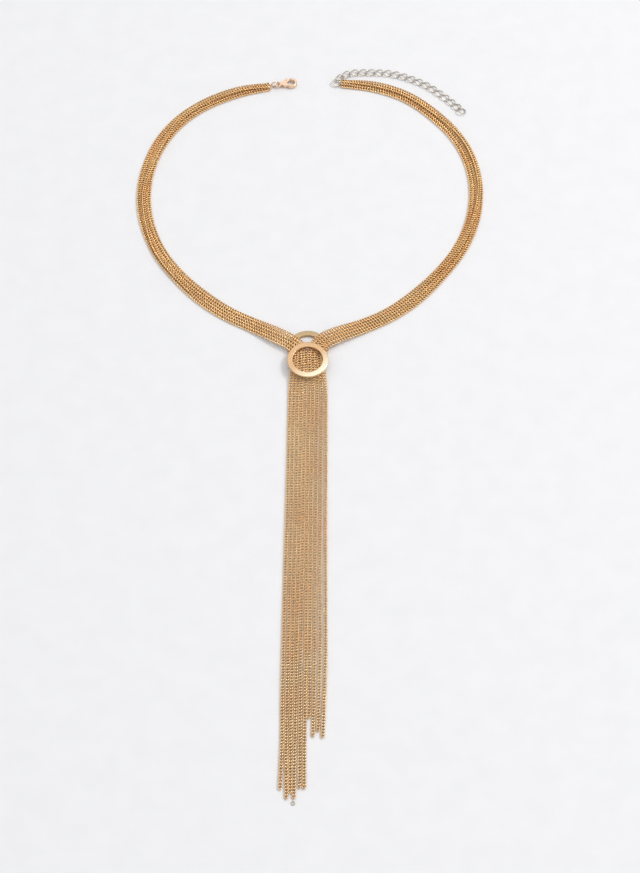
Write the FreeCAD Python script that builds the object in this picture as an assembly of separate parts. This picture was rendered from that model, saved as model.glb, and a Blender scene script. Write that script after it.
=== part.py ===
import FreeCAD, Part
import math
import os

# A long Y necklace lying open on a flat surface, which is the plane z = 0.
# X runs across the neck loop, +Y points from the tassel to the neck ends, +Z is up.
# The origin is the bottom centre of the whole necklace's box. All sizes are in millimetres.

os.makedirs("parts", exist_ok=True)

V = FreeCAD.Vector
UP = V(0, 0, 1)

# The ring slide: two equal flat rings, one behind and under the other.
RING_X = -0.81                # centre of the front ring
RING_Y = 18.09
RING_OUTER_R = 9.5
RING_INNER_R = 6.9
RING_THICK = 1.4
RING_EDGE_ROUND = 0.25
RING_STEP = 8.3               # the back ring's centre lies this much further in +Y
POST_X = 8.05                 # hidden posts where the two rings cross
POST_R = 0.4

# The chain strands, each a tube of the chain's mean section.
STRAND_R = 0.58
LAYER = 1.45                  # height of one strand lying on another
SEAT_GAP = 0.25

OVER_RING_Z = RING_THICK + SEAT_GAP + STRAND_R
FRONT_RING_Z = OVER_RING_Z + STRAND_R + SEAT_GAP

# The loops at the neck ends.
JUMP_RING_R = 1.9             # to the middle of the wire
JUMP_WIRE_R = 0.35
LINK_LENGTH = 5.13            # extender link, between the middles of its end wires
LINK_WIDTH = 3.3
LINK_WIRE_R = 0.32
LINK_COUNT = 17
LINK_TWIST = 45.0             # an extender link's ends are turned by this, each its own way
LINK_STEPS = 16
WIRE_SIDES = 6
LINK_CLEAR = 0.30             # between the end wires of two hooked links
RING_CLEAR = 0.45             # the same between a link and a ring
END_RING_R = 2.0
JUMP_RING_ROLL = 25.0         # how far the right jump ring leans
FIRST_LINK_ROLL = -10.0       # the first link lies on the edge of the right strands
END_RING_ROLL = -20.0
STEEP_ROLL = -80.0            # the left jump ring stands nearly upright
STEEP_HEADING = 15.0
TIP_LINK_R = 0.7
TIP_WIRE_R = 0.25

# The lobster clasp, from the middle of its loop along u, with v across it.
CLASP_X = -15.4
CLASP_Y = 166.9
CLASP_TURN = 8.8
CLASP_THICK = 2.0
LOOP_OUTER_R = 1.65
LOOP_HOLE_R = 1.05
LOOP_THICK = 0.7
LOOP_MID_Z = 1.4
NECK_U = (1.2, 2.3)           # the bar between the loop and the cheeks
NECK_WIDTH = 1.5
CHEEK_OUTLINE = (
    (1.75, -0.75),
    (2.9, -1.75),
    (4.6, -1.75),
    (4.6, -1.2),
    (4.3, 0.4),
    (4.1, 1.7),
    (3.4, 1.95),
    (2.6, 1.6),
    (1.75, 0.75),
)
SLOT_OUTLINE = ((2.35, 0.2), (2.35, 3.0), (5.2, 3.0), (5.2, -0.6), (3.0, -0.6))
SLOT_THICK = 1.0
HOOK_U = 6.7
HOOK_OUTER_R = 2.8
HOOK_INNER_R = 1.55
HOOK_ANGLES = (-165.0, 125.0)
HOOK_EDGE_ROUND = 0.35
PIVOT_U = 3.5
PIVOT_V = 0.95
PIN_R = 0.38
PIN_CLEARANCE = 0.05
BOSS_R = 0.8
LEVER_THICK = 0.8
LEVER_REACH = 3.05            # the lever stays this near its pivot, the hook's end beyond it
LEVER_GAP = 0.15
ARM_RADII = (1.9, 2.7)       # the lever's arm, round the hook's middle
ARM_ANGLES = (90.0, 158.0)
TAB_OUTLINE = ((4.6, 1.6), (4.1, 3.1), (4.8, 3.6), (5.7, 2.3))

# How the five strands of one side lie beside and over each other. Each row gives the
# sideways place of strands 1 to 5, towards the inside of the neck loop, then their levels.
LAYS = {
    "tied": ((1.5, 0.0, -0.75, 0.75, -1.5), (0, 0, 1, 1, 0)),
    "heap": ((2.25, 0.75, -0.75, 0.0, -2.25), (0, 0, 0, 1, 0)),
    "stack": ((2.55, 0.85, -0.85, 0.0, -2.55), (0, 0, 0, 1, 0)),
    "ridge": ((2.55, 0.85, -0.85, 1.7, -2.55), (0, 0, 0, 1, 0)),
    "cross": ((2.55, 0.85, -0.85, 0.0, -2.6), (0, 0, 0, 1, 0)),
    "over": ((2.55, 0.85, -0.85, -1.7, -2.65), (0, 0, 0, 1, 0)),
    "flat": ((3.2, 1.6, 0.0, -1.6, -3.2), (0, 0, 0, 0, 0)),
    "close": ((3.0, 1.5, 0.0, -1.5, -3.0), (0, 0, 0, 0, 0)),
}

# Middle line of each neck bundle, from the neck end to the slide: x, y from the front
# ring's centre, and the lay there.
NECK_LEFT = (
    (-19.5, 165.9, "tied"),
    (-29.9, 164.5, "heap"),
    (-41.0, 160.5, "stack"),
    (-52.5, 154.5, "stack"),
    (-63.5, 145.3, "stack"),
    (-72.9, 132.0, "ridge"),
    (-78.7, 115.6, "ridge"),
    (-80.7, 99.3, "cross"),
    (-78.8, 81.9, "cross"),
    (-72.1, 63.7, "over"),
    (-61.5, 48.7, "over"),
    (-49.4, 36.2, "flat"),
    (-37.1, 27.1, "close"),
    (-24.9, 21.0, "close"),
)
NECK_RIGHT = (
    (16.4, 167.9, "tied"),
    (27.6, 167.3, "heap"),
    (38.7, 164.6, "stack"),
    (50.8, 158.9, "stack"),
    (62.7, 148.2, "stack"),
    (74.2, 133.8, "ridge"),
    (80.7, 116.6, "ridge"),
    (82.4, 99.3, "ridge"),
    (79.8, 81.4, "cross"),
    (73.4, 65.3, "cross"),
    (63.5, 50.8, "over"),
    (51.6, 37.5, "flat"),
    (39.1, 27.3, "close"),
    (26.6, 20.9, "close"),
)

# Passage through the slide: x and y of the innermost and of the outermost strand, and
# the height. The strands between them are spaced evenly.
PASS_LEFT = (
    (-12.5, 17.6, -15.9, 11.8, OVER_RING_Z + 0.15),
    (-4.2, 12.6, -9.1, 8.0, OVER_RING_Z),
    (-0.75, 8.0, -6.3, 4.7, OVER_RING_Z),
    (-0.85, -4.5, -7.4, -4.5, OVER_RING_Z),
)
PASS_RIGHT = (
    (12.4, 18.3, 15.7, 12.3, OVER_RING_Z + 0.15),
    (4.4, 14.4, 9.6, 8.8, OVER_RING_Z),
    (0.75, 8.0, 6.3, 4.8, OVER_RING_Z),
    (0.9, -4.5, 7.5, -4.5, OVER_RING_Z),
)

# The tassel: the distances from the front ring's centre at which a long and a short
# strand's x is given, then each strand's x there, and the x and y of its tip.
LONG_Y = (-14.3, -30.0, -57.0, -93.0, -132.0, -168.0, -191.0)
SHORT_Y = (-14.3, -30.0, -57.0, -91.0, -125.0, -157.0)
TASSEL = {
    "strand_left_5": (LONG_Y, (-8.1, -8.3, -8.6, -9.2, -9.8, -10.2, -10.1), (-10.8, -206.8)),
    "strand_left_4": (LONG_Y, (-6.4, -6.5, -6.8, -7.3, -7.7, -8.3, -8.4), (-8.1, -210.6)),
    "strand_left_3": (LONG_Y, (-4.7, -4.72, -4.9, -5.3, -6.0, -6.4, -6.6), (-6.6, -208.4)),
    "strand_left_2": (LONG_Y, (-2.9, -3.0, -3.3, -3.6, -4.1, -4.6, -4.8), (-5.1, -211.1)),
    "strand_left_1": (LONG_Y, (-1.1, -1.3, -1.7, -1.9, -2.4, -2.6, -2.8), (-2.7, -206.4)),
    "strand_right_1": (LONG_Y, (0.7, 0.5, 0.1, -0.2, -0.3, -0.6, -0.9), (-0.8, -206.2)),
    "strand_right_2": (SHORT_Y, (2.6, 2.3, 1.9, 1.6, 1.4, 1.2), (1.0, -175.6)),
    "strand_right_3": (SHORT_Y, (4.4, 4.2, 3.8, 3.6, 3.3, 3.3), (2.7, -183.6)),
    "strand_right_4": (SHORT_Y, (6.4, 6.2, 5.9, 5.6, 5.5, 5.6), (4.8, -181.2)),
    "strand_right_5": (SHORT_Y, (8.4, 8.3, 8.15, 8.0, 7.95, 8.0), (6.7, -184.2)),
}
TIP_LINK_X = -5.3
TIP_LINK_Y = -212.4

# Middle line of the extender from the right jump ring, from the front ring's centre.
EXTENDER = (
    (13.9, 168.3),
    (15.8, 171.6),
    (19.2, 173.9),
    (23.8, 175.0),
    (28.9, 175.2),
    (37.0, 175.0),
    (44.8, 173.6),
    (52.8, 170.4),
    (60.6, 165.9),
    (66.9, 160.5),
    (73.0, 154.4),
    (78.8, 147.3),
)


def at(x, y, z):
    """A point given from the front ring's centre, in the necklace's frame."""
    return V(x + RING_X, y + RING_Y, z)


def unit(vector):
    return vector * (1.0 / vector.Length)


def arc_between(before, corner, after):
    """The tangent arc at a corner of a route, as large as its two runs allow."""
    arrive = unit(corner - before)
    leave = unit(after - corner)
    half_turn = arrive.getAngle(leave) / 2
    cut = 0.45 * min((corner - before).Length, (after - corner).Length)
    radius = cut / math.tan(half_turn)
    rise = radius / math.cos(half_turn) - radius
    middle = corner + unit(leave - arrive) * rise
    return Part.Arc(corner - arrive * cut, middle, corner + leave * cut), radius


def tube(points, radius):
    """A round tube along straight runs joined by tangent arcs."""
    edges = []
    radii = []
    start = points[0]
    for before, corner, after in zip(points, points[1:], points[2:]):
        arc, arc_radius = arc_between(before, corner, after)
        edges.append(Part.LineSegment(start, arc.StartPoint).toShape())
        edges.append(arc.toShape())
        radii.append(arc_radius)
        start = arc.EndPoint
    edges.append(Part.LineSegment(start, points[-1]).toShape())
    path = Part.Wire(edges)
    section = Part.Wire([Part.makeCircle(radius, points[0], points[1] - points[0])])
    solid = path.makePipe(Part.Face(section))
    return solid, path.Length, min(radii)


def bundle_point(rows, index, side, number):
    """Where one strand of a neck bundle is at one row of the bundle's table."""
    x, y, lay = rows[index]
    before = rows[max(index - 1, 0)]
    after = rows[min(index + 1, len(rows) - 1)]
    along = unit(V(after[0] - before[0], after[1] - before[1], 0))
    inward = V(along.y, -along.x, 0) * side
    places, levels = LAYS[lay]
    column = number - 1 if side < 0 else 5 - number
    sideways = places[column] * -side
    return at(x, y, STRAND_R + levels[column] * LAYER) + inward * sideways


def strand_route(side, number):
    """All the points of one strand, from its neck end to its tassel tip."""
    rows = NECK_LEFT if side < 0 else NECK_RIGHT
    points = [bundle_point(rows, index, side, number) for index in range(len(rows))]
    share = (number - 1) / 4
    for x_in, y_in, x_out, y_out, z in PASS_LEFT if side < 0 else PASS_RIGHT:
        points.append(at(x_in + (x_out - x_in) * share, y_in + (y_out - y_in) * share, z))
    distances, places, tip = TASSEL[strand_name(side, number)]
    points += [at(x, y, STRAND_R) for x, y in zip(places, distances)]
    points.append(at(tip[0], tip[1], STRAND_R))
    return points


def strand_name(side, number):
    return "strand_%s_%d" % ("left" if side < 0 else "right", number)


def flat_ring(z):
    """One flat ring with its sharp edges taken off, its centre on the Z axis."""
    ring = Part.makeCylinder(RING_OUTER_R, RING_THICK, V(0, 0, z))
    ring = ring.cut(Part.makeCylinder(RING_INNER_R, RING_THICK, V(0, 0, z)))
    rims = [edge for edge in ring.Edges if isinstance(edge.Curve, Part.Circle)]
    return ring.makeFillet(RING_EDGE_ROUND, rims)


def ring_slide():
    """The back ring on the surface, the front ring above the strands, and two posts."""
    back = flat_ring(0)
    back.translate(at(0, RING_STEP, 0))
    front = flat_ring(FRONT_RING_Z)
    front.translate(at(0, 0, 0))
    half_thick = RING_THICK / 2
    posts = [
        Part.makeCylinder(POST_R, FRONT_RING_Z, at(side * POST_X, RING_STEP / 2, half_thick))
        for side in (-1, 1)
    ]
    return back.fuse([front] + posts).removeSplitter()


def wire_ring(radius, wire_r):
    return Part.makeTorus(radius, wire_r)


def twisted_link(length, width, wire_r):
    """A curb link round the origin, long in X: an oval whose two ends are turned apart."""
    def middle(turn):
        x = length / 2 * math.cos(turn)
        y = width / 2 * math.sin(turn)
        twist = math.radians(LINK_TWIST) * x / (length / 2)
        return V(x, y * math.cos(twist), y * math.sin(twist))

    sections = []
    for step in range(LINK_STEPS):
        turn = 2 * math.pi * step / LINK_STEPS
        along = unit(middle(turn + 0.001) - middle(turn - 0.001))
        twist = math.radians(LINK_TWIST) * math.cos(turn)
        outward = unit(along.cross(V(0, -math.sin(twist), math.cos(twist))))
        upward = outward.cross(along)
        corners = []
        for side in range(WIRE_SIDES + 1):
            angle = 2 * math.pi * side / WIRE_SIDES
            reach = outward * math.cos(angle) + upward * math.sin(angle)
            corners.append(middle(turn) + reach * wire_r)
        sections.append(corners)
    faces = []
    for near, far in zip(sections, sections[1:] + sections[:1]):
        for side in range(WIRE_SIDES):
            square = (near[side], far[side], far[side + 1], near[side + 1])
            for corners in (square[:3], (square[0], square[2], square[3])):
                faces.append(Part.Face(Part.makePolygon([*corners, corners[0]])))
    return Part.Solid(Part.makeShell(faces))


def laid(shape, centre, along, roll):
    """Turn a link's X axis to a level direction, roll it about that, and move it."""
    shape = shape.copy()
    shape.rotate(V(0, 0, 0), V(1, 0, 0), roll)
    shape.rotate(V(0, 0, 0), UP, math.degrees(math.atan2(along.y, along.x)))
    shape.translate(centre)
    return shape


def resting(shape):
    """A piece raised until it rests on the surface."""
    shape.translate(UP * -shape.optimalBoundingBox(False).ZMin)
    return shape


def further(curve, parameter, distance):
    """The parameter of the point of a curve that lies a given distance further on."""
    start = curve.value(parameter)
    low = parameter
    high = curve.LastParameter
    for _ in range(50):
        middle = (low + high) / 2
        if (curve.value(middle) - start).Length < distance:
            low = middle
        else:
            high = middle
    return high


def extender_pieces():
    """The right jump ring, the interlocking links and the end ring, in order."""
    link = twisted_link(LINK_LENGTH, LINK_WIDTH, LINK_WIRE_R)
    first = wire_ring(JUMP_RING_R, JUMP_WIRE_R)
    last = wire_ring(END_RING_R, LINK_WIRE_R)
    row = [("end_jump_ring", first, 2 * JUMP_RING_R, JUMP_WIRE_R, JUMP_RING_ROLL)]
    for index in range(LINK_COUNT):
        roll = 0 if index else FIRST_LINK_ROLL
        row.append(("extender_link_%02d" % (index + 1), link, LINK_LENGTH, LINK_WIRE_R, roll))
    row.append(("extender_end_ring", last, 2 * END_RING_R, LINK_WIRE_R, END_RING_ROLL))
    line = Part.BSplineCurve()
    line.interpolate([at(x, y, 0) for x, y in EXTENDER])
    parameter = line.FirstParameter
    centres = [line.value(parameter)]
    for (name, _, length, wire_r, _), (other, _, next_length, next_wire_r, _) in zip(row, row[1:]):
        clear = RING_CLEAR if "ring" in name + other else LINK_CLEAR
        reach = wire_r + next_wire_r + clear
        parameter = further(line, parameter, (length + next_length) / 2 - reach)
        centres.append(line.value(parameter))
    pieces = {}
    for index, (name, shape, _, _, roll) in enumerate(row):
        before = centres[max(index - 1, 0)]
        after = centres[min(index + 1, len(row) - 1)]
        pieces[name] = resting(laid(shape, centres[index], after - before, roll))
    return pieces


def prism(outline, low, high):
    """A straight solid over a closed outline of edges, between two heights."""
    face = Part.Face(Part.Wire(Part.__sortEdges__(outline)))
    face.translate(V(0, 0, low))
    return face.extrude(V(0, 0, high - low))


def polygon(points):
    """The straight edges of a closed outline."""
    corners = [V(x, y, 0) for x, y in points]
    return [Part.LineSegment(a, b).toShape() for a, b in zip(corners, corners[1:] + corners[:1])]


def sector(centre_u, inner_r, outer_r, first, last, low, high):
    """Part of a flat ring round a point of the u axis, between two angles in degrees."""
    height = high - low
    outer = Part.makeCylinder(outer_r, height, V(0, 0, 0), UP, last - first)
    inner = Part.makeCylinder(inner_r, height)
    piece = outer.cut(inner)
    piece.rotate(V(0, 0, 0), UP, first)
    piece.translate(V(centre_u, 0, low))
    return piece


def clasp_placed(shape):
    shape = shape.copy()
    shape.rotate(V(0, 0, 0), UP, CLASP_TURN)
    shape.translate(at(CLASP_X, CLASP_Y, 0))
    return shape


def pivot_cylinder(radius):
    """A cylinder round the lever's pivot, as high as the clasp."""
    return Part.makeCylinder(radius, CLASP_THICK, V(PIVOT_U, PIVOT_V, 0))


def clasp_body():
    """Loop, cheeks, hook and riveted pin, in one solid."""
    middle = CLASP_THICK / 2
    slot = prism(polygon(SLOT_OUTLINE), middle - SLOT_THICK / 2, middle + SLOT_THICK / 2)
    loop_low = LOOP_MID_Z - LOOP_THICK / 2
    loop = Part.makeCylinder(LOOP_OUTER_R, LOOP_THICK, V(0, 0, loop_low))
    neck_corner = V(NECK_U[0], -NECK_WIDTH / 2, loop_low)
    neck = Part.makeBox(NECK_U[1] - NECK_U[0], NECK_WIDTH, LOOP_THICK, neck_corner)
    hook = sector(HOOK_U, HOOK_INNER_R, HOOK_OUTER_R, *HOOK_ANGLES, 0, CLASP_THICK)
    rims = [edge for edge in hook.Edges if isinstance(edge.Curve, Part.Circle)]
    hook = hook.makeFillet(HOOK_EDGE_ROUND, rims)
    gate_side = Part.makeBox(HOOK_U, HOOK_OUTER_R, CLASP_THICK)
    hook = hook.cut(pivot_cylinder(LEVER_REACH + LEVER_GAP).common(gate_side))
    cheeks = prism(polygon(CHEEK_OUTLINE), 0, CLASP_THICK)
    body = cheeks.fuse([hook]).cut(slot).fuse([loop, neck])
    body = body.cut(Part.makeCylinder(LOOP_HOLE_R, CLASP_THICK))
    return clasp_placed(body.fuse(pivot_cylinder(PIN_R)).removeSplitter())


def clasp_lever():
    """The gate: a boss on the pin, a curved arm up to the hook's end, and a thumb tab."""
    low = (CLASP_THICK - LEVER_THICK) / 2
    high = low + LEVER_THICK
    boss = Part.makeCylinder(BOSS_R, LEVER_THICK, V(PIVOT_U, PIVOT_V, low))
    arm = sector(HOOK_U, *ARM_RADII, *ARM_ANGLES, low, high).common(pivot_cylinder(LEVER_REACH))
    tab = prism(polygon(TAB_OUTLINE), low, high)
    lever = boss.fuse([arm, tab]).cut(pivot_cylinder(PIN_R + PIN_CLEARANCE))
    return clasp_placed(lever.removeSplitter())


def clasp_jump_ring():
    """A steep ring through the clasp's loop, beside the ends of the left strands."""
    heading = math.radians(STEEP_HEADING)
    along = V(math.cos(heading), math.sin(heading), 0)
    across = V(-math.sin(heading), math.cos(heading), 0)
    steep = math.radians(STEEP_ROLL)
    height = JUMP_RING_R * abs(math.sin(steep)) + JUMP_WIRE_R
    angle = math.asin((LOOP_MID_Z - height) / (JUMP_RING_R * math.sin(steep)))
    forward = JUMP_RING_R * math.cos(angle)
    aside = JUMP_RING_R * math.sin(angle) * math.cos(steep)
    centre = at(CLASP_X, CLASP_Y, height) - along * forward - across * aside
    return laid(wire_ring(JUMP_RING_R, JUMP_WIRE_R), centre, along, STEEP_ROLL)


def tassel_end_link():
    """A small open ring that lies flat at the tip of the longest strand."""
    ring = wire_ring(TIP_LINK_R, TIP_WIRE_R)
    ring.translate(at(TIP_LINK_X, TIP_LINK_Y, TIP_WIRE_R))
    return ring


def main():
    pieces = {
        "ring_slide": ring_slide(),
        "clasp_jump_ring": clasp_jump_ring(),
        "clasp_body": clasp_body(),
        "clasp_lever": clasp_lever(),
        "tassel_end_link": tassel_end_link(),
    }
    pieces.update(extender_pieces())
    section = math.pi * STRAND_R ** 2
    for side in (-1, 1):
        for number in range(1, 6):
            name = strand_name(side, number)
            solid, length, tightest = tube(strand_route(side, number), STRAND_R)
            pieces[name] = solid
            share = solid.Volume / (section * length)
            print("%s length %.1f tightest %.1f volume share %.4f" % (name, length, tightest, share))
    whole = FreeCAD.BoundBox()
    for name, shape in pieces.items():
        if not shape.isValid() or len(shape.Solids) != 1:
            print("CHECK", name, "valid", shape.isValid(), "solids", len(shape.Solids))
        shape.exportStep("parts/%s.step" % name)
        whole.add(shape.optimalBoundingBox(False))
    print("box", whole)
    print("volume", sum(shape.Volume for shape in pieces.values()))


main()
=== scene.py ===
import math

import bmesh
import bpy
import numpy as np
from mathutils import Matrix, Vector


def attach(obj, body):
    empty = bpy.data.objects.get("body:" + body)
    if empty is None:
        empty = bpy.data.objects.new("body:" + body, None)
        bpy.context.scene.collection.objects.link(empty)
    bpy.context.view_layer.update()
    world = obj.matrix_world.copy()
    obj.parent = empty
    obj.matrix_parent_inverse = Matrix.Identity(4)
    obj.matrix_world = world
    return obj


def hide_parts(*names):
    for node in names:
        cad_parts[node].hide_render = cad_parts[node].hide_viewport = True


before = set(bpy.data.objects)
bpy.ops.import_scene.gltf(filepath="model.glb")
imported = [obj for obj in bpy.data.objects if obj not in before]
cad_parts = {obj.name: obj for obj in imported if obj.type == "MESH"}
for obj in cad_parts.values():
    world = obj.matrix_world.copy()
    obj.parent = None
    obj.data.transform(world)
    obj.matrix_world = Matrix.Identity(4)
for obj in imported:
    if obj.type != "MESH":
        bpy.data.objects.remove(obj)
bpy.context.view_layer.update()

# Metres and degrees. The tables repeat the strands' routes of the part's source.
RING_X = -0.00081
RING_Y = 0.01809
STRAND_Z = 0.00072            # middle line of a chain that lies on the surface
LAYER = 0.00145
OVER_RING_Z = 0.00223
STAGGER = 0.00030             # inside the slide the chains lie higher and lower by turns
STAGGER_REACH = 0.0045

# The light: strength of the dome at the horizon and overhead, and of a softbox in it.
DOME_LOW = 0.42
DOME_HIGH = 0.88
SOFTBOX_GAIN = 0.43
SOFTBOX_WAY = (0.15, 0.50, 0.853)
SOFTBOX_EDGE = (0.80, 0.97)   # cosines at which the softbox begins and is at its full strength
SKY_TONE = (0.985, 0.99, 1.0, 1.0)
KEY_POWER = 15.0
KEY_PLACE = (1.25, 0.55, 1.75)
KEY_SIZE = 0.6
KEY_TONE = (1.0, 0.985, 0.97)

# The board under the necklace, a hair lower than the surface so that nothing flickers in it.
FLOOR_HALF = 3.0
FLOOR_Z = -0.00003
FLOOR_TONES = ((0.86, 0.86, 0.875, 1.0), (0.88, 0.88, 0.895, 1.0))
FLOOR_GRAIN = 90.0
FLOOR_ROUGHNESS = 0.7

# The camera, from the front ring's centre on the surface, as worked out from the photograph.
CAMERA_SIDE = 0.00567
CAMERA_BACK = 0.49022
CAMERA_HEIGHT = 0.7665
CAMERA_PITCH = 59.5           # below the horizon
CAMERA_LENS = 81.03           # millimetres, on the long side of the picture
CAMERA_SENSOR = 36.0
CAMERA_NEAR = 0.01

# Fine curb chain.
LINK_PITCH = 0.00134
LINK_WIDTH = 0.00190
LINK_WIRE = 0.00049
WIRE_DEPTH = 1.30             # a link's wire is this much deeper than wide
LINK_PLAY = 0.00003
LINK_SWING = 9.0              # how far a chain turns about its own line, here and there
LINK_TWIST = 45.0             # each end of a link is turned by this, one way and the other
LINK_STEPS = 14
WIRE_SIDES = 6
WAVE_LENGTHS = (0.018, 0.09)  # the turning is a sum of waves of lengths between these
WAVE_COUNT = 5
CURVE_STEPS = 24              # points of a route's smooth line for each control point
SEED = 7
SEED_STEP = 10                # from one strand of a side to the next
SEED_RIGHT = 5                # added on the right side
SEED_TONE = 1000              # added for the links' tones

# Plated metal. Noise scales are in turns per metre.
NECK_PAINTED_SHADE = (0.98, 0.89, 0.74, 1.0)    # painted shade: the neck chains are painted a little deeper than the tassel, for the shade among their stacked strands
NECK_FADE = 0.02              # half of the length over which that sets in, at the slide
LINK_TONES = (0.93, 1.0)      # from the dullest link to the brightest
PAINTED_INNER_SHADE = (0.24, 0.09, 0.03, 1.0)      # painted shade inside the links, where they shade each other
PAINTED_INNER_SHADE_MOST = 0.75
PAINTED_INNER_SHADE_REACH = (0.05, 0.45)  # where round the wire it is at its most and where it ends
PATCH_SCALE = 55.0
SPECK_SCALE = 900.0
GLOSS_SCALE = 700.0
SCRATCH_SCALE = 2600.0
SCRATCH_STRENGTH = 0.12
SCRATCH_DEPTH = 0.00004
# Painted shade at the rims of polished pieces, where their surface turns away.
RIM_BLEND = 0.35
RIM_MOST = 0.75
RIM_REACH = (0.30, 0.95)

# The sockets of a node that mixes colours.
MIX_SHARE = 0
MIX_FIRST = 6
MIX_SECOND = 7
MIX_RESULT = 2

LAYS = {
    "tied": ((0.0015, 0.0000, -0.00075, 0.00075, -0.0015), (0, 0, 1, 1, 0)),
    "heap": ((0.00225, 0.00075, -0.00075, 0.0000, -0.00225), (0, 0, 0, 1, 0)),
    "stack": ((0.00255, 0.00085, -0.00085, 0.0000, -0.00255), (0, 0, 0, 1, 0)),
    "ridge": ((0.00255, 0.00085, -0.00085, 0.0017, -0.00255), (0, 0, 0, 1, 0)),
    "cross": ((0.00255, 0.00085, -0.00085, 0.0000, -0.0026), (0, 0, 0, 1, 0)),
    "over": ((0.00255, 0.00085, -0.00085, -0.0017, -0.00265), (0, 0, 0, 1, 0)),
    "flat": ((0.0032, 0.0016, 0.0000, -0.0016, -0.0032), (0, 0, 0, 0, 0)),
    "close": ((0.0030, 0.0015, 0.0000, -0.0015, -0.0030), (0, 0, 0, 0, 0)),
}

# Middle line of each neck bundle, from the neck end to the slide: x, y, lay.
NECK_LEFT = (
    (-0.0195, 0.1659, "tied"),
    (-0.0299, 0.1645, "heap"),
    (-0.0410, 0.1605, "stack"),
    (-0.0525, 0.1545, "stack"),
    (-0.0635, 0.1453, "stack"),
    (-0.0729, 0.1320, "ridge"),
    (-0.0787, 0.1156, "ridge"),
    (-0.0807, 0.0993, "cross"),
    (-0.0788, 0.0819, "cross"),
    (-0.0721, 0.0637, "over"),
    (-0.0615, 0.0487, "over"),
    (-0.0494, 0.0362, "flat"),
    (-0.0371, 0.0271, "close"),
    (-0.0249, 0.0210, "close"),
)
NECK_RIGHT = (
    (0.0164, 0.1679, "tied"),
    (0.0276, 0.1673, "heap"),
    (0.0387, 0.1646, "stack"),
    (0.0508, 0.1589, "stack"),
    (0.0627, 0.1482, "stack"),
    (0.0742, 0.1338, "ridge"),
    (0.0807, 0.1166, "ridge"),
    (0.0824, 0.0993, "ridge"),
    (0.0798, 0.0814, "cross"),
    (0.0734, 0.0653, "cross"),
    (0.0635, 0.0508, "over"),
    (0.0516, 0.0375, "flat"),
    (0.0391, 0.0273, "close"),
    (0.0266, 0.0209, "close"),
)

# Passage through the slide: x and y of the innermost and of the outermost strand, height.
PASS_LEFT = (
    (-0.0125, 0.0176, -0.0159, 0.0118, OVER_RING_Z + 0.00015),
    (-0.0042, 0.0126, -0.0091, 0.0080, OVER_RING_Z),
    (-0.00075, 0.0080, -0.0063, 0.0047, OVER_RING_Z),
    (-0.00085, -0.0045, -0.0074, -0.0045, OVER_RING_Z),
)
PASS_RIGHT = (
    (0.0124, 0.0183, 0.0157, 0.0123, OVER_RING_Z + 0.00015),
    (0.0044, 0.0144, 0.0096, 0.0088, OVER_RING_Z),
    (0.00075, 0.0080, 0.0063, 0.0048, OVER_RING_Z),
    (0.0009, -0.0045, 0.0075, -0.0045, OVER_RING_Z),
)

# The tassel: y of the places, each strand's x there, and its tip's x and y.
LONG_Y = (-0.0143, -0.0300, -0.0570, -0.0930, -0.1320, -0.1680, -0.1910)
SHORT_Y = (-0.0143, -0.0300, -0.0570, -0.0910, -0.1250, -0.1570)
TASSEL = {
    "strand_left_5": (
        LONG_Y,
        (-0.0081, -0.0083, -0.0086, -0.0092, -0.0098, -0.0102, -0.0101),
        (-0.0108, -0.2068),
    ),
    "strand_left_4": (
        LONG_Y,
        (-0.0064, -0.0065, -0.0068, -0.0073, -0.0077, -0.0083, -0.0084),
        (-0.0081, -0.2106),
    ),
    "strand_left_3": (
        LONG_Y,
        (-0.0047, -0.00472, -0.0049, -0.0053, -0.0060, -0.0064, -0.0066),
        (-0.0066, -0.2084),
    ),
    "strand_left_2": (
        LONG_Y,
        (-0.0029, -0.0030, -0.0033, -0.0036, -0.0041, -0.0046, -0.0048),
        (-0.0051, -0.2111),
    ),
    "strand_left_1": (
        LONG_Y,
        (-0.0011, -0.0013, -0.0017, -0.0019, -0.0024, -0.0026, -0.0028),
        (-0.0027, -0.2064),
    ),
    "strand_right_1": (
        LONG_Y,
        (0.0007, 0.0005, 0.0001, -0.0002, -0.0003, -0.0006, -0.0009),
        (-0.0008, -0.2062),
    ),
    "strand_right_2": (
        SHORT_Y,
        (0.0026, 0.0023, 0.0019, 0.0016, 0.0014, 0.0012),
        (0.0010, -0.1756),
    ),
    "strand_right_3": (
        SHORT_Y,
        (0.0044, 0.0042, 0.0038, 0.0036, 0.0033, 0.0033),
        (0.0027, -0.1836),
    ),
    "strand_right_4": (
        SHORT_Y,
        (0.0064, 0.0062, 0.0059, 0.0056, 0.0055, 0.0056),
        (0.0048, -0.1812),
    ),
    "strand_right_5": (
        SHORT_Y,
        (0.0084, 0.0083, 0.00815, 0.0080, 0.00795, 0.0080),
        (0.0067, -0.1842),
    ),
}


def at(x, y, z):
    """A point given from the front ring's centre, in the necklace's frame."""
    return Vector((x + RING_X, y + RING_Y, z))


def strand_name(side, number):
    return "strand_%s_%d" % ("left" if side < 0 else "right", number)


def bundle_point(rows, index, side, number):
    """Where one strand of a neck bundle is at one row of the bundle's table."""
    x, y, lay = rows[index]
    before = rows[max(index - 1, 0)]
    after = rows[min(index + 1, len(rows) - 1)]
    along = Vector((after[0] - before[0], after[1] - before[1], 0)).normalized()
    inward = Vector((along.y, -along.x, 0)) * side
    places, levels = LAYS[lay]
    column = number - 1 if side < 0 else 5 - number
    return at(x, y, STRAND_Z + levels[column] * LAYER) + inward * (places[column] * -side)


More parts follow.
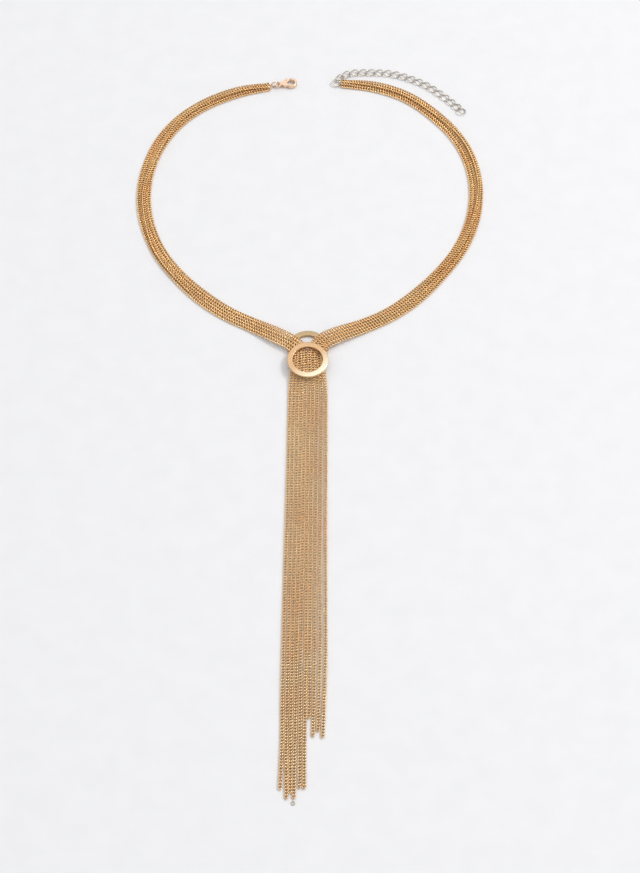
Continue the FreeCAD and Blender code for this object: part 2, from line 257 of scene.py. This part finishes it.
def strand_route(side, number):
    """The points of one strand's route, from its neck end to its tassel tip."""
    rows = NECK_LEFT if side < 0 else NECK_RIGHT
    points = [bundle_point(rows, index, side, number) for index in range(len(rows))]
    share = (number - 1) / 4
    for x_in, y_in, x_out, y_out, z in PASS_LEFT if side < 0 else PASS_RIGHT:
        points.append(at(x_in + (x_out - x_in) * share, y_in + (y_out - y_in) * share, z))
    distances, places, tip = TASSEL[strand_name(side, number)]
    points += [at(x, y, STRAND_Z) for x, y in zip(places, distances)]
    points.append(at(tip[0], tip[1], STRAND_Z))
    return points


def smooth_line(points):
    """Places along the NURBS line that has the route's points as its control points."""
    curve = bpy.data.curves.new("route", "CURVE")
    curve.dimensions = "3D"
    spline = curve.splines.new("NURBS")
    spline.points.add(len(points) - 1)
    for control, point in zip(spline.points, points):
        control.co = (*point, 1.0)
    spline.order_u = 3
    spline.use_endpoint_u = True
    spline.resolution_u = CURVE_STEPS
    holder = bpy.data.objects.new("route", curve)
    mesh = bpy.data.meshes.new_from_object(holder)
    line = np.array([vertex.co for vertex in mesh.vertices], float)
    bpy.data.objects.remove(holder)
    bpy.data.curves.remove(curve)
    bpy.data.meshes.remove(mesh)
    return line


def unit_rows(rows):
    return rows / np.linalg.norm(rows, axis=1, keepdims=True)


def link_shape():
    """One curb link round the origin, long in X: its points, outward share and faces."""
    half_length = (LINK_PITCH + LINK_WIRE + LINK_PLAY) / 2
    half_width = (LINK_WIDTH - LINK_WIRE) / 2
    turn = np.linspace(0, 2 * math.pi, LINK_STEPS, endpoint=False)

    def middle(angle):
        x = half_length * np.cos(angle)
        y = half_width * np.sin(angle)
        twist = math.radians(LINK_TWIST) * x / half_length
        return np.stack([x, y * np.cos(twist), y * np.sin(twist)], axis=1)

    step = 1e-3
    along = unit_rows(middle(turn + step) - middle(turn - step))
    twist = math.radians(LINK_TWIST) * np.cos(turn)
    flat = np.stack([np.zeros(LINK_STEPS), -np.sin(twist), np.cos(twist)], axis=1)
    outward = unit_rows(np.cross(along, flat))
    upward = np.cross(outward, along)
    points = []
    shares = []
    for side in range(WIRE_SIDES):
        angle = 2 * math.pi * (side + 0.5) / WIRE_SIDES
        reach = LINK_WIRE / 2
        ring = outward * math.cos(angle) + upward * (math.sin(angle) * WIRE_DEPTH)
        points.append(middle(turn) + ring * reach)
        shares.append(np.full(LINK_STEPS, 0.5 + 0.5 * math.cos(angle)))
    faces = [
        (
            side * LINK_STEPS + place,
            side * LINK_STEPS + (place + 1) % LINK_STEPS,
            (side + 1) % WIRE_SIDES * LINK_STEPS + (place + 1) % LINK_STEPS,
            (side + 1) % WIRE_SIDES * LINK_STEPS + place,
        )
        for side in range(WIRE_SIDES)
        for place in range(LINK_STEPS)
    ]
    return np.concatenate(points), np.concatenate(shares), np.array(faces)


def wandering(places, reach, seed):
    """A slow, uneven swing along a strand, from a few waves of seeded length and phase."""
    random = np.random.default_rng(seed)
    waves = random.uniform(*WAVE_LENGTHS, WAVE_COUNT)
    phases = random.uniform(0, 2 * math.pi, WAVE_COUNT)
    swing = sum(np.sin(2 * math.pi * places / wave + phase) for wave, phase in zip(waves, phases))
    return reach * swing / 2


def link_places(points, level):
    """The middles of a strand's links, and the strand's own directions at each of them."""
    line = smooth_line(points)
    line[:, 2] += level * STAGGER * np.exp(-(((line[:, 1] - RING_Y) / STAGGER_REACH) ** 2))
    lengths = np.concatenate([[0], np.cumsum(np.linalg.norm(np.diff(line, axis=0), axis=1))])

    def place(distance):
        return np.stack([np.interp(distance, lengths, line[:, axis]) for axis in range(3)], axis=1)

    count = int(lengths[-1] / LINK_PITCH)
    first = (lengths[-1] - (count - 1) * LINK_PITCH) / 2
    distances = first + LINK_PITCH * np.arange(count)
    along = unit_rows(place(distances + LINK_PITCH / 2) - place(distances - LINK_PITCH / 2))
    side = unit_rows(np.cross(np.array([0.0, 0.0, 1.0]), along))
    return distances, place(distances), along, side, np.cross(along, side)


def chain_strand(name, points, seed, level):
    """A strand of interlocking curb links along a route, in one mesh."""
    distances, centres, along, side, up = link_places(points, level)
    count = len(distances)
    roll = np.radians(wandering(distances, LINK_SWING, seed))[:, None]
    side, up = side * np.cos(roll) + up * np.sin(roll), up * np.cos(roll) - side * np.sin(roll)
    shape, outward, faces = link_shape()
    vertices = (
        centres[:, None]
        + shape[None, :, 0:1] * along[:, None]
        + shape[None, :, 1:2] * side[:, None]
        + shape[None, :, 2:3] * up[:, None]
    ).reshape(-1, 3)
    corners = (faces[None] + len(shape) * np.arange(count)[:, None, None]).reshape(-1, 4)
    mesh = bpy.data.meshes.new(name)
    mesh.from_pydata(vertices.tolist(), [], corners.tolist())
    mesh.polygons.foreach_set("use_smooth", [True] * len(corners))
    random = np.random.default_rng(seed + SEED_TONE)
    tone = np.repeat(random.uniform(0, 1, count), len(shape))
    for label, values in (("outward", np.tile(outward, count)), ("tone", tone)):
        mesh.attributes.new(label, "FLOAT", "POINT").data.foreach_set("value", values)
    piece = bpy.data.objects.new(name, mesh)
    bpy.context.scene.collection.objects.link(piece)
    return piece


def new_material(name):
    material = bpy.data.materials.new(name)
    material.use_nodes = True
    return material, material.node_tree.nodes, material.node_tree.links


def noise(nodes, links, scale, detail=3.0):
    """A noise texture in object coordinates."""
    coordinates = nodes.new("ShaderNodeTexCoord")
    texture = nodes.new("ShaderNodeTexNoise")
    texture.inputs["Scale"].default_value = scale
    texture.inputs["Detail"].default_value = detail
    links.new(coordinates.outputs["Object"], texture.inputs["Vector"])
    return texture.outputs["Fac"]


def spread(nodes, links, value, low, high, from_low=0.35, from_high=0.65):
    """A value stretched from its usual range to another one."""
    node = nodes.new("ShaderNodeMapRange")
    node.inputs["From Min"].default_value = from_low
    node.inputs["From Max"].default_value = from_high
    node.inputs["To Min"].default_value = low
    node.inputs["To Max"].default_value = high
    links.new(value, node.inputs["Value"])
    return node.outputs["Result"]


def mixed(nodes, links, share, first, second, blend="MIX"):
    """Two colours mixed by a share; each is a colour or another node's output."""
    node = nodes.new("ShaderNodeMix")
    node.data_type = "RGBA"
    node.blend_type = blend
    for socket, value in ((MIX_SHARE, share), (MIX_FIRST, first), (MIX_SECOND, second)):
        if isinstance(value, bpy.types.NodeSocket):
            links.new(value, node.inputs[socket])
        else:
            node.inputs[socket].default_value = value
    return node.outputs[MIX_RESULT]


def along_way(nodes, links, way, first, last):
    """A ramp from 0 to 1 along a way in the necklace's frame, between two distances on it."""
    place = nodes.new("ShaderNodeNewGeometry")
    reach = nodes.new("ShaderNodeVectorMath")
    reach.operation = "DOT_PRODUCT"
    reach.inputs[1].default_value = way
    links.new(place.outputs["Position"], reach.inputs[0])
    return spread(nodes, links, reach.outputs["Value"], 0.0, 1.0, first, last)


def rim_darkened(nodes, links, colour, dark):
    """Painted shade: a polished piece looks darker where its surface turns away, so its colour is
    darkened there.
    """
    facing = nodes.new("ShaderNodeLayerWeight")
    facing.inputs["Blend"].default_value = RIM_BLEND
    share = spread(nodes, links, facing.outputs["Facing"], 0.0, RIM_MOST, *RIM_REACH)
    return mixed(nodes, links, share, colour, dark)


def chain_toned(nodes, links, colour):
    """Painted shade makes the chain deeper in the neck and dark inside the links; its links differ
    in tone.
    """
    # painted shade: the neck, where the strands lie stacked, is made deeper than the tassel
    neck = along_way(nodes, links, (0.0, 1.0, 0.0), RING_Y - NECK_FADE, RING_Y + NECK_FADE)
    neck_shaded = mixed(nodes, links, 1.0, colour, NECK_PAINTED_SHADE, "MULTIPLY")
    colour = mixed(nodes, links, neck, colour, neck_shaded)
    tone = nodes.new("ShaderNodeAttribute")
    tone.attribute_name = "tone"
    shade = spread(nodes, links, tone.outputs["Fac"], *LINK_TONES, 0.0, 1.0)
    colour = mixed(nodes, links, 1.0, colour, shade, "MULTIPLY")
    # painted shade on the inner side of each link's wire
    outward = nodes.new("ShaderNodeAttribute")
    outward.attribute_name = "outward"
    inner = spread(nodes, links, outward.outputs["Fac"], PAINTED_INNER_SHADE_MOST, 0.0, *PAINTED_INNER_SHADE_REACH)
    return mixed(nodes, links, inner, colour, PAINTED_INNER_SHADE)


def plated_metal(name, light, deep, roughness, worn=None, chain=False, painted_light_ramps=(), dark=None):
    """Plated brass: two tones in patches, uneven gloss, fine scratches, and painted shade in the
    chain's crevices.
    Each ramp paints light and shade as a gradient to another colour; the dark colour is painted
    shade for surfaces that turn away."""
    material, nodes, links = new_material(name)
    shader = nodes["Principled BSDF"]
    shader.inputs["Metallic"].default_value = 1.0
    patches = spread(nodes, links, noise(nodes, links, PATCH_SCALE), 0.0, 1.0)
    colour = mixed(nodes, links, patches, light, deep)
    if worn:
        specks = spread(nodes, links, noise(nodes, links, SPECK_SCALE, 4.0), 0.0, 0.5, 0.55, 0.75)
        colour = mixed(nodes, links, specks, colour, worn)
    # painted light and shade: each ramp is a gradient to a lighter or darker colour
    for way, first, last, painted_colour in painted_light_ramps:
        start = Vector(way).dot(Vector((RING_X, RING_Y, 0.0)))
        share = along_way(nodes, links, way, start + first, start + last)
        colour = mixed(nodes, links, share, colour, painted_colour)
    if dark:
        colour = rim_darkened(nodes, links, colour, dark)
    if chain:
        colour = chain_toned(nodes, links, colour)
    links.new(colour, shader.inputs["Base Color"])
    gloss = spread(nodes, links, noise(nodes, links, GLOSS_SCALE, 5.0), *roughness)
    links.new(gloss, shader.inputs["Roughness"])
    bump = nodes.new("ShaderNodeBump")
    bump.inputs["Strength"].default_value = SCRATCH_STRENGTH
    bump.inputs["Distance"].default_value = SCRATCH_DEPTH
    links.new(noise(nodes, links, SCRATCH_SCALE, 4.0), bump.inputs["Height"])
    links.new(bump.outputs["Normal"], shader.inputs["Normal"])
    return material


def floor_material():
    """A pale matt board with a hardly visible grain."""
    material, nodes, links = new_material("pale_board")
    shader = nodes["Principled BSDF"]
    grain = spread(nodes, links, noise(nodes, links, FLOOR_GRAIN), 0.0, 1.0)
    colour = mixed(nodes, links, grain, *FLOOR_TONES)
    links.new(colour, shader.inputs["Base Color"])
    shader.inputs["Roughness"].default_value = FLOOR_ROUGHNESS
    return material


def build_chains(material):
    for side in (-1, 1):
        for number in range(1, 6):
            name = strand_name(side, number)
            seed = SEED + SEED_STEP * number + (SEED_RIGHT if side > 0 else 0)
            level = 1 if number % 2 else -1
            route = strand_route(side, number)
            piece = chain_strand(name.replace("strand", "chain"), route, seed, level * side)
            piece.data.materials.append(material)
            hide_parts(name)
            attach(piece, "necklace")


def build_link(name, material):
    """An extender link with the node's own form, its wire shaded round."""
    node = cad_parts[name]
    shape = bmesh.new()
    shape.from_mesh(node.data)
    bmesh.ops.remove_doubles(shape, verts=shape.verts, dist=1e-7)
    for face in shape.faces:
        face.smooth = True
    mesh = bpy.data.meshes.new(name + "_round")
    shape.to_mesh(mesh)
    shape.free()
    mesh.materials.append(material)
    piece = bpy.data.objects.new(name + "_round", mesh)
    piece.matrix_world = node.matrix_world.copy()
    bpy.context.scene.collection.objects.link(piece)
    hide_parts(name)
    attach(piece, "necklace")


def finish_node(name, material):
    """A node of the part that stays as it is gets its material."""
    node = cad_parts[name]
    node.data.materials.clear()
    node.data.materials.append(material)


def build_floor():
    mesh = bpy.data.meshes.new("floor")
    corners = [
        (x * FLOOR_HALF, y * FLOOR_HALF, FLOOR_Z) for x, y in ((-1, -1), (1, -1), (1, 1), (-1, 1))
    ]
    mesh.from_pydata(corners, [], [(0, 1, 2, 3)])
    floor = bpy.data.objects.new("floor", mesh)
    bpy.context.scene.collection.objects.link(floor)
    mesh.materials.append(floor_material())


def area_light(name, place, target, size, power, colour):
    light = bpy.data.lights.new(name, "AREA")
    light.shape = "DISK"
    light.size = size
    light.energy = power
    light.color = colour
    holder = bpy.data.objects.new(name, light)
    holder.location = place
    holder.rotation_euler = (Vector(target) - Vector(place)).to_track_quat("-Z", "Y").to_euler()
    bpy.context.scene.collection.objects.link(holder)


def build_light():
    """Soft studio light: a dome that is brighter overhead and behind, and one large lamp."""
    world = bpy.data.worlds.new("dome")
    world.use_nodes = True
    nodes = world.node_tree.nodes
    links = world.node_tree.links
    place = nodes.new("ShaderNodeTexCoord")
    parts = nodes.new("ShaderNodeSeparateXYZ")
    links.new(place.outputs["Generated"], parts.inputs["Vector"])
    height = spread(nodes, links, parts.outputs["Z"], DOME_LOW, DOME_HIGH, 0.0, 1.0)
    towards = nodes.new("ShaderNodeVectorMath")
    towards.operation = "DOT_PRODUCT"
    towards.inputs[1].default_value = SOFTBOX_WAY
    links.new(place.outputs["Generated"], towards.inputs[0])
    softbox = spread(nodes, links, towards.outputs["Value"], 0.0, SOFTBOX_GAIN, *SOFTBOX_EDGE)
    total = nodes.new("ShaderNodeMath")
    total.operation = "ADD"
    links.new(height, total.inputs[0])
    links.new(softbox, total.inputs[1])
    background = nodes["Background"]
    background.inputs["Color"].default_value = SKY_TONE
    links.new(total.outputs["Value"], background.inputs["Strength"])
    bpy.context.scene.world = world
    area_light("key", KEY_PLACE, (0.0, 0.0, 0.0), KEY_SIZE, KEY_POWER, KEY_TONE)


def build_camera():
    camera = bpy.data.cameras.new("camera")
    camera.lens = CAMERA_LENS
    camera.sensor_width = CAMERA_SENSOR
    camera.clip_start = CAMERA_NEAR
    holder = bpy.data.objects.new("camera", camera)
    holder.location = (RING_X + CAMERA_SIDE, RING_Y - CAMERA_BACK, CAMERA_HEIGHT)
    holder.rotation_euler = (math.radians(90.0 - CAMERA_PITCH), 0, 0)
    bpy.context.scene.collection.objects.link(holder)
    bpy.context.scene.camera = holder


build_camera()
build_light()
build_floor()
bpy.context.scene.view_settings.view_transform = "Standard"

CHAIN_GOLD = plated_metal(
    "chain_gold",
    (1.0, 0.76, 0.46, 1.0),
    (0.98, 0.68, 0.38, 1.0),
    (0.22, 0.36),
    chain=True,
)
SLIDE_GOLD = plated_metal(
    "slide_gold",
    (0.73, 0.485, 0.275, 1.0),
    (0.68, 0.435, 0.235, 1.0),
    (0.18, 0.32),
    worn=(0.88, 0.66, 0.42, 1.0),
    painted_light_ramps=(
        # painted highlight towards the front ring's lower right
        ((0.6, -0.8, 0.0), 0.0, 0.011, (1.0, 0.94, 0.72, 1.0)),
        # painted shade on the back ring's far arc, which lies lower, under the strands
        ((0.0, 1.0, 0.0), 0.008, 0.017, (0.50, 0.36, 0.20, 1.0)),
    ),
)
CLASP_GOLD = plated_metal(
    "clasp_gold",
    (0.92, 0.68, 0.50, 1.0),
    (0.80, 0.55, 0.38, 1.0),
    (0.12, 0.26),
    worn=(0.95, 0.82, 0.68, 1.0),
    # painted shade where the clasp's surface turns away
    dark=(0.34, 0.21, 0.13, 1.0),
)
CHAMPAGNE = plated_metal(
    "champagne_plate",
    (0.70, 0.65, 0.58, 1.0),
    (0.62, 0.56, 0.48, 1.0),
    (0.26, 0.42),
    worn=(0.80, 0.76, 0.70, 1.0),
)

build_chains(CHAIN_GOLD)
for node_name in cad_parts:
    if node_name == "ring_slide":
        finish_node(node_name, SLIDE_GOLD)
    elif node_name.startswith("clasp"):
        finish_node(node_name, CLASP_GOLD)
    elif node_name.startswith("extender_link"):
        build_link(node_name, CHAMPAGNE)
    elif not node_name.startswith("strand"):
        finish_node(node_name, CHAMPAGNE)
